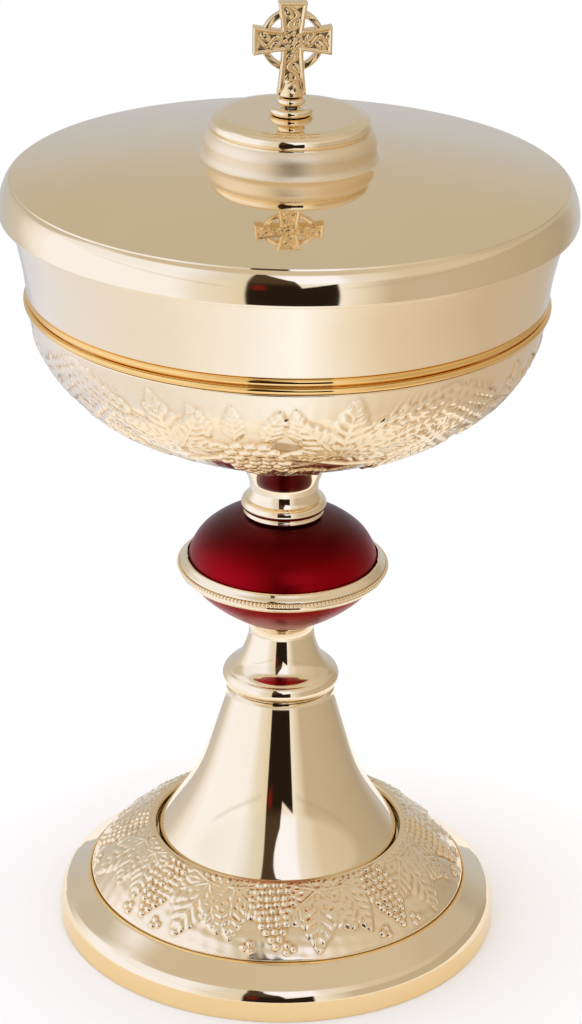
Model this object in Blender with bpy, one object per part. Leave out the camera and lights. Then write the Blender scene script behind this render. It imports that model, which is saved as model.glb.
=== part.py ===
"""A covered ciborium: a gilt cup in an embossed sheath, on a stem with a red knop and a
round embossed foot, closed by a domed lid with a ringed cross. One threaded rod clamps
the cup, stem and foot together, and the lid lifts straight off.

Run it with: blender --background --python part.py
The frame is in metres, +Z up, with the origin at the centre of the foot's resting face.
The cross faces -Y. Sizes below are in millimetres.
"""

import math

import bmesh
import bpy
from mathutils import Matrix, Vector

MM = 0.001

# Driving sizes of the vessel
FOOT_RADIUS = 61.2
LID_RADIUS = 75.2
CUP_RIM_RADIUS = 72.2
CUP_RIM_Z = 210.0
SHEATH_RADIUS = 68.0
SHEATH_CENTRE_Z = 185.2
SHEATH_DEPTH = 42.6
KNOP_RADIUS = 25.9
KNOP_Z = 107.5
CROSS_CENTRE_Z = 253.3
CROSS_TURN = 6.0

# Walls and gaps
SPUN_WALL = 1.2
SHEATH_WALL = 0.8
KNOP_WALL = 0.9
BAND_WALL = 1.0
GAP = 0.3

# Clamping hardware
ROD_RADIUS = 4.0
ROD_HOLE = 4.4
STUD_RADIUS = 1.3
STUD_HOLE = 1.65

# Facets round the wide shells, the stem pieces and the small hardware
WIDE = 36
STEM = 24
SMALL = 16


def clear_scene():
    for old in list(bpy.data.objects):
        bpy.data.objects.remove(old)


def make_material(name, colour, roughness, metallic):
    material = bpy.data.materials.new(name)
    material.use_nodes = True
    shader = material.node_tree.nodes["Principled BSDF"]
    shader.inputs["Base Color"].default_value = (*colour, 1.0)
    shader.inputs["Roughness"].default_value = roughness
    shader.inputs["Metallic"].default_value = metallic
    return material


# Outlines are lists of (radius, height) in millimetres


def smooth_curve(points, steps):
    """A smooth line through the points, with this many steps between each two."""
    ends = [points[0], *points, points[-1]]
    curve = []
    for before, start, end, after in zip(ends, ends[1:], ends[2:], ends[3:]):
        for step in range(steps):
            t = step / steps
            curve.append(
                tuple(
                    0.5
                    * (
                        2 * b
                        + (c - a) * t
                        + (2 * a - 5 * b + 4 * c - d) * t * t
                        + (3 * b - a - 3 * c + d) * t * t * t
                    )
                    for a, b, c, d in zip(before, start, end, after)
                )
            )
    curve.append(points[-1])
    return curve


def arc(centre_r, centre_z, radius_r, radius_z, start, end, steps):
    """Points along an ellipse's arc, with its angles in degrees from +R towards +Z."""
    turns = [math.radians(start + (end - start) * n / steps) for n in range(steps + 1)]
    return [
        (centre_r + radius_r * math.cos(a), centre_z + radius_z * math.sin(a))
        for a in turns
    ]


def offset_line(line, distance):
    """The line moved sideways by the distance, to the left of its direction."""
    moved = []
    for n, (r, z) in enumerate(line):
        before = Vector(line[max(n - 1, 0)])
        after = Vector(line[min(n + 1, len(line) - 1)])
        along = (after - before).normalized()
        moved.append((r - along.y * distance, z + along.x * distance))
    return moved


def shell_outline(line, wall, flat_ends=()):
    """A closed outline: the outer line, then the inner face of a wall that thick.
    The ends named by flat_ends (0, -1 or both) are cut level."""
    inner = offset_line(line, wall)
    for end in flat_ends:
        inner[end] = (inner[end][0], line[end][1])
    return [*line, *reversed(inner)]


def turned(name, outline, material, facets, on_axis=False):
    """Spins an outline round Z into one closed body. An outline on the axis isn't a loop."""
    shape = bmesh.new()
    points = [shape.verts.new((r * MM, 0, z * MM)) for r, z in outline]
    pairs = list(zip(points, points[1:]))
    if not on_axis:
        pairs.append((points[-1], points[0]))
    edges = [shape.edges.new(pair) for pair in pairs]
    bmesh.ops.spin(
        shape,
        geom=[*points, *edges],
        cent=(0, 0, 0),
        axis=(0, 0, 1),
        angle=math.tau,
        steps=facets,
        use_merge=True,
    )
    bmesh.ops.remove_doubles(shape, verts=shape.verts, dist=1e-6)
    bmesh.ops.dissolve_degenerate(shape, edges=shape.edges, dist=1e-6)
    bmesh.ops.recalc_face_normals(shape, faces=shape.faces)
    return add_object(name, shape, material)


def add_object(name, shape, material):
    mesh = bpy.data.meshes.new(name)
    shape.to_mesh(mesh)
    shape.free()
    mesh.shade_smooth()
    mesh.set_sharp_from_angle(angle=math.radians(35))
    mesh.materials.append(material)
    thing = bpy.data.objects.new(name, mesh)
    bpy.context.scene.collection.objects.link(thing)
    return thing


def washer(name, inner, outer, low, high, material, facets=SMALL):
    ring = [(inner, low), (outer, low), (outer, high), (inner, high)]
    return turned(name, ring, material, facets)


def rod(name, radius, low, high, chamfer, material):
    line = [
        (0, low),
        (radius - chamfer, low),
        (radius, low + chamfer),
        (radius, high - chamfer),
        (radius - chamfer, high),
        (0, high),
    ]
    return turned(name, line, material, SMALL, on_axis=True)


def cutter(name, shape):
    """A hidden helper for a Boolean."""
    mesh = bpy.data.meshes.new(name)
    shape.to_mesh(mesh)
    shape.free()
    helper = bpy.data.objects.new(name, mesh)
    bpy.context.scene.collection.objects.link(helper)
    helper.hide_render = True
    helper.display_type = "WIRE"
    return helper


def combine(thing, helper, operation):
    modifier = thing.modifiers.new(helper.name, "BOOLEAN")
    modifier.operation = operation
    modifier.object = helper
    modifier.solver = "EXACT"


def cylinder_shape(radius, low, high, sides):
    shape = bmesh.new()
    middle = Matrix.Translation((0, 0, (low + high) / 2 * MM))
    bmesh.ops.create_cone(
        shape,
        cap_ends=True,
        segments=sides,
        radius1=radius * MM,
        radius2=radius * MM,
        depth=(high - low) * MM,
        matrix=middle,
    )
    return shape


def hex_nut(name, across_corners, low, high, hole, material):
    nut = add_object(name, cylinder_shape(across_corners / 2, low, high, 6), material)
    bore = cutter(name + "_bore", cylinder_shape(hole, low - 2, high + 2, SMALL))
    combine(nut, bore, "DIFFERENCE")
    return nut


# The foot

FOOT_DECK_Z = 25.0
DECK_RADIUS = 36.0
BAND_OUTER_R = 52.5
BAND_INNER_R = 34.7
BAND_INNER_Z = 28.2


def foot_base(material):
    """The spun base ring: a turned-in resting lip, a rounded edge and a rising slope."""
    outside = [
        (FOOT_RADIUS - 3.4, 0),
        (FOOT_RADIUS, 0),
        (FOOT_RADIUS - 0.1, 2.4),
        (FOOT_RADIUS - 0.6, 4.6),
        (FOOT_RADIUS - 1.5, 6.6),
        (FOOT_RADIUS - 3.1, 8.7),
        (FOOT_RADIUS - 5.4, 10.8),
        (BAND_OUTER_R + 0.9, 12.9),
        (BAND_OUTER_R - 0.2, 12.0),
        (BAND_OUTER_R - 1.6, 12.2),
        (44.0, 17.2),
        (DECK_RADIUS + GAP, FOOT_DECK_Z - 0.2),
    ]
    inside = [
        (DECK_RADIUS + GAP, FOOT_DECK_Z - 1.8),
        (43.2, 15.9),
        (BAND_OUTER_R - 1.4, 10.7),
        (BAND_OUTER_R + 0.6, 10.9),
        (FOOT_RADIUS - 5.6, 9.0),
        (FOOT_RADIUS - 3.2, 6.4),
        (FOOT_RADIUS - 2.0, 3.8),
        (FOOT_RADIUS - 1.7, 1.2),
        (FOOT_RADIUS - 3.4, 1.2),
    ]
    return turned("foot_base", [*outside, *inside], material, WIDE)


def foot_deck(material):
    """The plate soldered into the base ring, which carries the cone and takes the rod."""
    low, high = FOOT_DECK_Z - SPUN_WALL, FOOT_DECK_Z
    return washer("foot_deck", ROD_HOLE, DECK_RADIUS, low, high, material, WIDE)


def foot_band(material):
    """The convex ring that carries the grape and vine relief, laid on the base."""
    crown = smooth_curve(
        [
            (BAND_OUTER_R, 13.7),
            (48.6, 18.4),
            (44.2, 22.0),
            (39.4, 25.3),
            (BAND_INNER_R, BAND_INNER_Z),
        ],
        1,
    )
    return turned("foot_band", shell_outline(crown, BAND_WALL), material, WIDE)


CONE_TOP_Z = 71.0


def foot_cone(material):
    """The trumpet of the foot, closed at the top by a ledge that carries the collar."""
    flare = smooth_curve(
        [
            (33.6, FOOT_DECK_Z + GAP),
            (32.7, 28.2),
            (27.9, 34.8),
            (22.6, 44.0),
            (18.2, 55.0),
            (15.3, 65.0),
            (14.3, CONE_TOP_Z - 0.6),
        ],
        1,
    )
    flare += [(13.8, CONE_TOP_Z), (ROD_HOLE, CONE_TOP_Z)]
    return turned("foot_cone", shell_outline(flare, SPUN_WALL, [0]), material, STEM)


def foot_hardware(steel, brass):
    """The plate, washer and nut that pull the whole stack together from below."""
    plate_top = FOOT_DECK_Z - SPUN_WALL - GAP
    washer("foot_clamp_plate", ROD_HOLE, 22.0, plate_top - 1.8, plate_top, brass, STEM)
    washer("foot_washer", ROD_HOLE, 8.5, plate_top - 3.6, plate_top - 2.1, steel)
    nut_top = plate_top - 3.9
    hex_nut("foot_nut", 15.0, nut_top - 6.5, nut_top, ROD_HOLE, steel)


# The stem

COLLAR_SEAT_Z = CONE_TOP_Z + GAP
KNOP_LOW_Z = 92.1
KNOP_HIGH_Z = 122.2
UPPER_COLLAR_TOP_Z = 142.7
BOSS_LOW_Z = 138.2


def lower_collar(material):
    """A turned collar: a rounded bulge with a concave neck up to the knop."""
    bulge = [(14.6, COLLAR_SEAT_Z), (15.2, COLLAR_SEAT_Z + 0.5)]
    side = smooth_curve(
        [(15.9, 73.2), (15.1, 75.5), (12.3, 78.6), (9.9, 82.5), (8.9, 87.2), (9.5, 91.2)],
        2,
    )
    top = [(9.5, KNOP_LOW_Z - GAP), (ROD_HOLE, KNOP_LOW_Z - GAP)]
    foot = [(ROD_HOLE, COLLAR_SEAT_Z)]
    return turned("lower_collar", [*bulge, *side, *top, *foot], material, STEM)


def knop_shells(material):
    """Two lacquered half shells that meet behind the girdle."""
    upper = smooth_curve(
        [
            (KNOP_RADIUS, KNOP_Z + GAP / 2),
            (KNOP_RADIUS - 1.1, 112.6),
            (22.3, 116.4),
            (17.4, 120.1),
            (11.8, KNOP_HIGH_Z),
        ],
        1,
    )
    upper.append((ROD_HOLE + 2.2, KNOP_HIGH_Z))
    turned("knop_upper_shell", shell_outline(upper, KNOP_WALL, [0]), material, STEM)
    lower = smooth_curve(
        [
            (10.4, KNOP_LOW_Z),
            (13.2, 93.7),
            (19.0, 97.6),
            (23.3, 101.4),
            (25.4, 104.6),
            (KNOP_RADIUS, KNOP_Z - GAP / 2),
        ],
        1,
    )
    lower.insert(0, (ROD_HOLE + 2.2, KNOP_LOW_Z))
    turned("knop_lower_shell", shell_outline(lower, KNOP_WALL, [-1]), material, STEM)


def knop_girdle(material):
    """The bevelled girdle over the joint of the shells, with a beaded wire in its groove."""
    inner = KNOP_RADIUS + GAP
    girdle = [
        (inner, KNOP_Z - 2.1),
        (inner + 0.9, KNOP_Z - 2.3),
        (inner + 1.6, KNOP_Z - 1.6),
        (inner + 1.7, KNOP_Z - 0.6),
        (inner + 1.3, KNOP_Z - 0.4),
        (inner + 1.3, KNOP_Z + 0.8),
        (inner + 1.8, KNOP_Z + 1.0),
        (inner + 1.7, KNOP_Z + 1.5),
        (inner + 0.5, KNOP_Z + 2.8),
        (inner, KNOP_Z + 2.6),
    ]
    turned("knop_girdle", girdle, material, STEM)
    wire = arc(inner + 2.1, KNOP_Z + 0.2, 0.45, 0.45, 0, 300, 5)
    turned("knop_bead_wire", wire, material, STEM)


def knop_core_tube(material):
    """The hidden sleeve inside the knop that takes the clamping load."""
    return washer(
        "knop_core_tube",
        ROD_HOLE,
        ROD_HOLE + 1.8,
        KNOP_LOW_Z - GAP + 0.3,
        KNOP_HIGH_Z + 0.1,
        material,
    )


def upper_collar(material):
    """A turned collar: a bell over the knop, a neck, and a flare up to the sheath."""
    bell = [(10.9, KNOP_HIGH_Z + GAP), (11.5, KNOP_HIGH_Z + GAP + 0.5)]
    side = smooth_curve(
        [(11.7, 123.9), (10.6, 125.8), (9.2, 128.8), (9.7, 132.8), (11.6, 137.4), (13.9, 142)],
        2,
    )
    top = [
        (13.7, UPPER_COLLAR_TOP_Z),
        (8.8, UPPER_COLLAR_TOP_Z),
        (8.8, BOSS_LOW_Z - GAP),
        (ROD_HOLE, BOSS_LOW_Z - GAP),
        (ROD_HOLE, KNOP_HIGH_Z + GAP),
    ]
    return turned("upper_collar", [*bell, *side, *top], material, STEM)


def tie_rod(material):
    """The threaded rod from the boss under the cup to the nut under the foot."""
    return rod("tie_rod", ROD_RADIUS, 10.5, 143.4, 0.6, material)


# The cup

BOWL_RADIUS = 66.5
BOWL_DEPTH = 40.4
BOWL_LOW_Z = SHEATH_CENTRE_Z - BOWL_DEPTH


def cup_sheath(material):
    """The embossed outer bowl, open at the bottom where the collar carries it."""
    start = -math.degrees(math.acos(9.2 / SHEATH_RADIUS))
    bowl = arc(0, SHEATH_CENTRE_Z, SHEATH_RADIUS, SHEATH_DEPTH, start, -2.5, 8)
    return turned("cup_sheath", shell_outline(bowl, SHEATH_WALL), material, WIDE)


def sheath_rim(material):
    """The rolled wire that finishes the sheath's edge."""
    wire = arc(SHEATH_RADIUS + 0.2, SHEATH_CENTRE_Z - 0.6, 0.9, 0.9, 0, 315, 7)
    return turned("sheath_rim", wire, material, WIDE)


def cup_bowl(material):
    """The spun drinking bowl's shape: a round bottom and a flared polished band."""
    bottom = arc(0, SHEATH_CENTRE_Z, BOWL_RADIUS, BOWL_DEPTH, -90, -4, 8)
    band = [
        (BOWL_RADIUS + 0.1, 187.0),
        (68.2, 188.0),
        (69.0, 192.4),
        (CUP_RIM_RADIUS - 1.6, 200.0),
        (CUP_RIM_RADIUS - 0.3, 206.5),
        (CUP_RIM_RADIUS, CUP_RIM_Z - 0.3),
    ]
    rim = [
        (CUP_RIM_RADIUS - 0.3, CUP_RIM_Z),
        (CUP_RIM_RADIUS - 0.9, CUP_RIM_Z),
        (CUP_RIM_RADIUS - SPUN_WALL, CUP_RIM_Z - 0.3),
    ]
    outside = [*bottom, *band]
    inside = offset_line(outside, SPUN_WALL)[:-1]
    inside[0] = (0, BOWL_LOW_Z + SPUN_WALL)
    line = [*outside, *rim, *reversed(inside)]
    return turned("cup_bowl", line, material, WIDE, on_axis=True)


def cup_boss(material):
    """The threaded boss brazed under the bowl, which the rod screws into."""
    line = [
        (0, 143.8),
        (ROD_HOLE, 143.8),
        (ROD_HOLE, BOSS_LOW_Z),
        (8.4, BOSS_LOW_Z),
        (8.4, BOWL_LOW_Z - 0.1),
        (0, BOWL_LOW_Z - GAP),
    ]
    return turned("cup_boss", line, material, SMALL, on_axis=True)


# The lid

LID_LIP_Z = 208.2
DOME_TOP_Z = 223.3
DOME_FALL = 1 / 840
PLATEAU_Z = 233.9
BOSS_RADIUS = 22.4


def dome_z(radius):
    return DOME_TOP_Z - DOME_FALL * radius * radius


def lid_shell(material):
    """The spun lid: a rounded rim, a shallow dome and a stepped boss for the finial."""
    rim = [
        (LID_RADIUS - 0.4, LID_LIP_Z),
        (LID_RADIUS, LID_LIP_Z + 0.8),
        (LID_RADIUS - 0.3, LID_LIP_Z + 3.8),
        (LID_RADIUS - 0.9, LID_LIP_Z + 5.8),
        (LID_RADIUS - 1.9, LID_LIP_Z + 7.8),
        (LID_RADIUS - 3.6, LID_LIP_Z + 8.9),
        (68.5, dome_z(68.5)),
    ]
    dome = [(r, dome_z(r)) for r in (57.0, 42.0, 30.0)]
    boss = [
        (BOSS_RADIUS + 0.9, dome_z(BOSS_RADIUS)),
        (BOSS_RADIUS - 0.4, 223.7),
        (BOSS_RADIUS - 0.1, 226.8),
        (21.0, 229.7),
        (20.9, 231.4),
        (20.2, 232.9),
        (18.8, PLATEAU_Z),
        (STUD_HOLE, PLATEAU_Z),
    ]
    outside = [*rim, *dome, *boss]
    return turned("lid_shell", shell_outline(outside, SPUN_WALL, [0]), material, WIDE)


def lid_seat_ring(material):
    """The bezel soldered inside the lid: a neck, a ledge over the rim and a skirt."""
    ledge_z = CUP_RIM_Z + GAP
    outline = [
        (68.9, 201.0),
        (68.9, ledge_z),
        (CUP_RIM_RADIUS, ledge_z),
        (CUP_RIM_RADIUS, 214.6),
        (CUP_RIM_RADIUS - 1.2, 215.0),
        (CUP_RIM_RADIUS - 1.2, ledge_z + 1.2),
        (67.7, ledge_z + 1.2),
        (67.7, 201.0),
    ]
    return turned("lid_seat_ring", outline, material, WIDE)


# The finial

FLANGE_LOW_Z = PLATEAU_Z + GAP
BALL_LOW_Z = 236.3
CROSS_FOOT_Z = 239.0
CROSS_TOP_Z = 263.3
CROSS_THICK = 3.2
RING_RADII = (6.5, 8.2)
RING_THICK = 2.4


def finial_flange(material):
    """The turned disc on the boss, with a rounded edge."""
    edge = arc(4.9, FLANGE_LOW_Z + 0.9, 0.8, 0.9, -90, 90, 4)
    outline = [(STUD_HOLE, FLANGE_LOW_Z), *edge, (STUD_HOLE, FLANGE_LOW_Z + 1.8)]
    return turned("finial_flange", outline, material, SMALL)


def finial_ball(material):
    """The turned bead between the disc and the cross."""
    side = arc(2.1, BALL_LOW_Z + 1.2, 1.7, 1.2, -90, 90, 4)
    outline = [(STUD_HOLE, BALL_LOW_Z), *side, (STUD_HOLE, BALL_LOW_Z + 2.4)]
    return turned("finial_ball", outline, material, SMALL)


def slab(outline, thickness):
    """A flat plate in the XZ plane, from an outline of (x, z) in millimetres."""
    shape = bmesh.new()
    half = thickness / 2 * MM
    corners = [shape.verts.new((x * MM, -half, z * MM)) for x, z in outline]
    face = shape.faces.new(corners)
    grown = bmesh.ops.extrude_face_region(shape, geom=[face])["geom"]
    moved = [g for g in grown if isinstance(g, bmesh.types.BMVert)]
    bmesh.ops.translate(shape, verts=moved, vec=(0, 2 * half, 0))
    bmesh.ops.recalc_face_normals(shape, faces=shape.faces)
    return shape


def cross_outline():
    """Four flared arms, the lower one longer and widening to the foot."""
    waist = 2.5
    arm_reach, arm_end = 10.1, 3.7
    top_reach, top_end = CROSS_TOP_Z - CROSS_CENTRE_Z, 3.4
    foot_reach, foot_end = CROSS_CENTRE_Z - CROSS_FOOT_Z, 3.5
    c = CROSS_CENTRE_Z
    right = [
        (top_end, c + top_reach),
        (waist, c + waist),
        (arm_reach, c + arm_end),
        (arm_reach, c - arm_end),
        (waist, c - waist),
        (foot_end, c - foot_reach),
    ]
    left = [(-x, z) for x, z in reversed(right)]
    return [*right, *left]


def cross_ring():
    """The ring round the crossing, as a body to join to the arms."""
    inner, outer = RING_RADII
    half = RING_THICK / 2
    shape = bmesh.new()
    section = [(inner, -half), (outer, -half), (outer, half), (inner, half)]
    points = [shape.verts.new((r * MM, y * MM, 0)) for r, y in section]
    edges = [shape.edges.new((a, b)) for a, b in zip(points, [*points[1:], points[0]])]
    bmesh.ops.spin(
        shape,
        geom=[*points, *edges],
        cent=(0, 0, 0),
        axis=(0, 1, 0),
        angle=math.tau,
        steps=STEM,
        use_merge=True,
    )
    bmesh.ops.remove_doubles(shape, verts=shape.verts, dist=1e-6)
    bmesh.ops.recalc_face_normals(shape, faces=shape.faces)
    bmesh.ops.translate(shape, verts=shape.verts, vec=(0, 0, CROSS_CENTRE_Z * MM))
    return shape


def celtic_cross(material):
    """The cast cross: arms, a thicker foot block and the ring, tapped for its stud."""
    cross = add_object("celtic_cross", slab(cross_outline(), CROSS_THICK), material)
    foot = slab(
        [
            (3.4, CROSS_FOOT_Z - 0.01),
            (2.9, CROSS_FOOT_Z + 6.0),
            (-2.9, CROSS_FOOT_Z + 6.0),
            (-3.4, CROSS_FOOT_Z - 0.01),
        ],
        CROSS_THICK + 1.4,
    )
    combine(cross, cutter("cross_foot_block", foot), "UNION")
    combine(cross, cutter("cross_ring_body", cross_ring()), "UNION")
    bore = cylinder_shape(STUD_HOLE, CROSS_FOOT_Z - 3, CROSS_FOOT_Z + 3.6, SMALL)
    combine(cross, cutter("cross_bore", bore), "DIFFERENCE")
    cross.rotation_euler.z = math.radians(CROSS_TURN)


def finial_hardware(steel):
    """The stud through the finial, with its washer and nut inside the boss."""
    under = PLATEAU_Z - SPUN_WALL - GAP
    rod("finial_stud", STUD_RADIUS, under - 4.2, CROSS_FOOT_Z + 3.2, 0.2, steel)
    washer("finial_washer", STUD_HOLE, 4.4, under - 0.9, under, steel)
    hex_nut("finial_nut", 6.4, under - 3.5, under - 1.2, STUD_HOLE, steel)


def main():
    clear_scene()
    gilt = make_material("gilt_brass", (0.90, 0.74, 0.47), 0.10, 1.0)
    embossed = make_material("embossed_gilt", (0.90, 0.75, 0.49), 0.22, 1.0)
    lacquer = make_material("red_lacquer", (0.27, 0.008, 0.014), 0.38, 0.6)
    steel = make_material("plated_steel", (0.56, 0.55, 0.52), 0.35, 1.0)

    foot_base(gilt)
    foot_deck(gilt)
    foot_band(embossed)
    foot_cone(gilt)
    foot_hardware(steel, gilt)

    lower_collar(gilt)
    knop_shells(lacquer)
    knop_girdle(gilt)
    knop_core_tube(gilt)
    upper_collar(gilt)
    tie_rod(steel)

    cup_sheath(embossed)
    sheath_rim(gilt)
    cup_bowl(gilt)
    cup_boss(gilt)

    lid_shell(gilt)
    lid_seat_ring(gilt)
    finial_flange(gilt)
    finial_ball(gilt)
    celtic_cross(gilt)
    finial_hardware(steel)


main()
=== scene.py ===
import bpy
import bmesh
import math
import numpy as np
from mathutils import Matrix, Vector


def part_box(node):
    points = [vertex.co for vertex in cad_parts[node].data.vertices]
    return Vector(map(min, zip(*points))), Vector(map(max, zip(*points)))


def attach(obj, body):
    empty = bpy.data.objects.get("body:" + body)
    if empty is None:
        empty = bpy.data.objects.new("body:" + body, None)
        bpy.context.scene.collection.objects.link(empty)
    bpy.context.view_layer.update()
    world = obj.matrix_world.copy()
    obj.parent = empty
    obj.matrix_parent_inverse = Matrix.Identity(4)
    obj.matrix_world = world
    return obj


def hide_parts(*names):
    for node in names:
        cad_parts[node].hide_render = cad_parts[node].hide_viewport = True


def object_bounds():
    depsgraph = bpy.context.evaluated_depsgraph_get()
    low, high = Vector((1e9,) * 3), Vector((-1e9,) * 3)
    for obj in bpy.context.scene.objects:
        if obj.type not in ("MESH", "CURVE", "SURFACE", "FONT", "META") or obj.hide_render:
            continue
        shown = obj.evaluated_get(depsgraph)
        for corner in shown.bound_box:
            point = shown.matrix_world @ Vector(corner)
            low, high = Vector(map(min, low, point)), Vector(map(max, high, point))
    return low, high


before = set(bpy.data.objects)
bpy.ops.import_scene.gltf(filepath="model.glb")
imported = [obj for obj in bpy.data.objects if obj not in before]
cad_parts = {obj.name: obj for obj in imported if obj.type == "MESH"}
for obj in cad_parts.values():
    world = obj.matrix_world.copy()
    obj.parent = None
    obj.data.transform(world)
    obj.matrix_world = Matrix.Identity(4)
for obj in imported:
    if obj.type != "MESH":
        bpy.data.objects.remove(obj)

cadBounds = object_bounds()
mm = 0.001
rng = np.random.default_rng(17)
scene = bpy.context.scene
scene.view_settings.view_transform = "Standard"
print("frame loaded:", len(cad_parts), "nodes")


# shared shapes
# outlines are lists of (radius, height) in mm

def nodeSize(name):
    low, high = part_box(name)
    return high.x / mm, low.z / mm, high.z / mm


def smoothLine(points, steps=8):
    pts = [np.array(p, float) for p in points]
    pts = [2 * pts[0] - pts[1], *pts, 2 * pts[-1] - pts[-2]]
    line = []
    for a, b, c, d in zip(pts, pts[1:], pts[2:], pts[3:]):
        for n in range(steps):
            t = n / steps
            p = 0.5 * (2 * b + (c - a) * t + (2 * a - 5 * b + 4 * c - d) * t * t
                       + (3 * b - a - 3 * c + d) * t ** 3)
            line.append((float(p[0]), float(p[1])))
    line.append((float(pts[-2][0]), float(pts[-2][1])))
    return line


def arcLine(centre, size, start, end, steps=12):
    turns = np.radians(np.linspace(start, end, steps + 1))
    return [(float(centre[0] + size[0] * math.cos(a)), float(centre[1] + size[1] * math.sin(a)))
            for a in turns]


def tidyLine(line, least=0.004):
    kept = [line[0]]
    for p in line[1:]:
        if math.dist(p, kept[-1]) > least:
            kept.append(p)
    return kept


def innerLine(line, wall):
    pts = np.array(line, float)
    along = np.gradient(pts, axis=0)
    along /= np.linalg.norm(along, axis=1)[:, None] + 1e-9
    moved = pts + np.stack([-along[:, 1], along[:, 0]], 1) * wall
    return [tuple(map(float, p)) for p in moved]


def meshFrom(name, verts, faces, material, sharp=30):
    mesh = bpy.data.meshes.new(name)
    mesh.vertices.add(len(verts))
    mesh.vertices.foreach_set("co", np.asarray(verts, np.float32).ravel())
    mesh.loops.add(faces.size)
    mesh.loops.foreach_set("vertex_index", faces.ravel().astype(np.int32))
    mesh.polygons.add(len(faces))
    mesh.polygons.foreach_set("loop_start", np.arange(0, faces.size, faces.shape[1], dtype=np.int32))
    mesh.update(calc_edges=True)
    mesh.validate()
    mesh.shade_smooth()
    if sharp:
        mesh.set_sharp_from_angle(angle=math.radians(sharp))
    mesh.materials.append(material)
    piece = bpy.data.objects.new(name, mesh)
    scene.collection.objects.link(piece)
    return piece


# a hollow this deep (mm) below the mean of its neighbours takes the painted shade in full
recessShadeLook = {"reach": 3, "depth": 0.22}


# how far each point sits below its surroundings, from 0 to 1
def recessOf(height, reach, depth):
    wide = np.pad(height, ((reach, reach), (0, 0)), "edge")
    wide = sum(wide[n:n + len(height)] for n in range(2 * reach + 1)) / (2 * reach + 1)
    wide = sum(np.roll(wide, n, 1) for n in range(-reach, reach + 1)) / (2 * reach + 1)
    return np.clip((wide - height) / depth, 0, 1)


# stores how deep each point lies, as the mask for the painted shade in recesses
def storeRecessShade(mesh, values):
    recessShade = mesh.attributes.new("recessShade", "FLOAT", "POINT")
    recessShade.data.foreach_set("value", values.ravel().astype(np.float32))


# one closed turned skin; lift gives each point its relief along the outward normal
def spinLine(name, line, material, segments=192, lift=None, sharp=30):
    pts = np.array(tidyLine(line), float)
    rows, turns = len(pts), np.arange(segments) * math.tau / segments
    along = np.gradient(pts, axis=0)
    along /= np.linalg.norm(along, axis=1)[:, None] + 1e-9
    outward = np.stack([along[:, 1], -along[:, 0]], 1)
    height = np.zeros((rows, segments)) if lift is None else lift(pts, turns)
    radius = pts[:, 0, None] + outward[:, 0, None] * height
    level = pts[:, 1, None] + outward[:, 1, None] * height
    verts = np.stack([radius * np.cos(turns), radius * np.sin(turns), level], -1).reshape(-1, 3) * mm
    row, col = np.meshgrid(np.arange(rows), np.arange(segments), indexing="ij")
    row, col = row.ravel(), col.ravel()
    up, side = (row + 1) % rows, (col + 1) % segments
    faces = np.stack([row * segments + col, row * segments + side,
                      up * segments + side, up * segments + col], 1)
    piece = meshFrom(name, verts, faces, material, sharp)
    if lift is not None:
        storeRecessShade(piece.data, recessOf(height, recessShadeLook["reach"], recessShadeLook["depth"]))
    return piece


def standsFor(piece, body, slot, *nodes):
    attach(piece, body)
    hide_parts(*nodes)
    return piece


# finishes

def nodeTools(name):
    material = bpy.data.materials.new(name)
    material.use_nodes = True
    tree = material.node_tree
    shader = tree.nodes["Principled BSDF"]

    def add(kind, **values):
        node = tree.nodes.new(kind)
        for key, value in values.items():
            setattr(node, key, value)
        return node

    return material, tree, shader, add


def setAll(node, values):
    for name, value in values.items():
        node.inputs[name].default_value = value
    return node


def colourRamp(add, stops):
    ramp = add("ShaderNodeValToRGB").color_ramp
    node = ramp.id_data.nodes[-1]
    while len(ramp.elements) < len(stops):
        ramp.elements.new(0.5)
    for element, (place, colour) in zip(ramp.elements, stops):
        element.position = place
        element.color = (*colour, 1)
    return node


goldLook = {
    "bright": (0.945, 0.800, 0.575),
    "deep": (0.920, 0.765, 0.525),
    # darker, more orange colour painted into recesses as shade
    "hollow": (0.72, 0.43, 0.15),
    "polished": (0.030, 0.065),
    "chased": (0.13, 0.22),
    "cast": (0.15, 0.24),
    "edge": (0.09, 0.14),
    "matt": (0.40, 0.47),
    "inside": (0.16, 0.26),
    "driftScale": 22,
    "smearScale": 60,
    "markScale": 260,
    "grainScale": 500,
}


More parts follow.
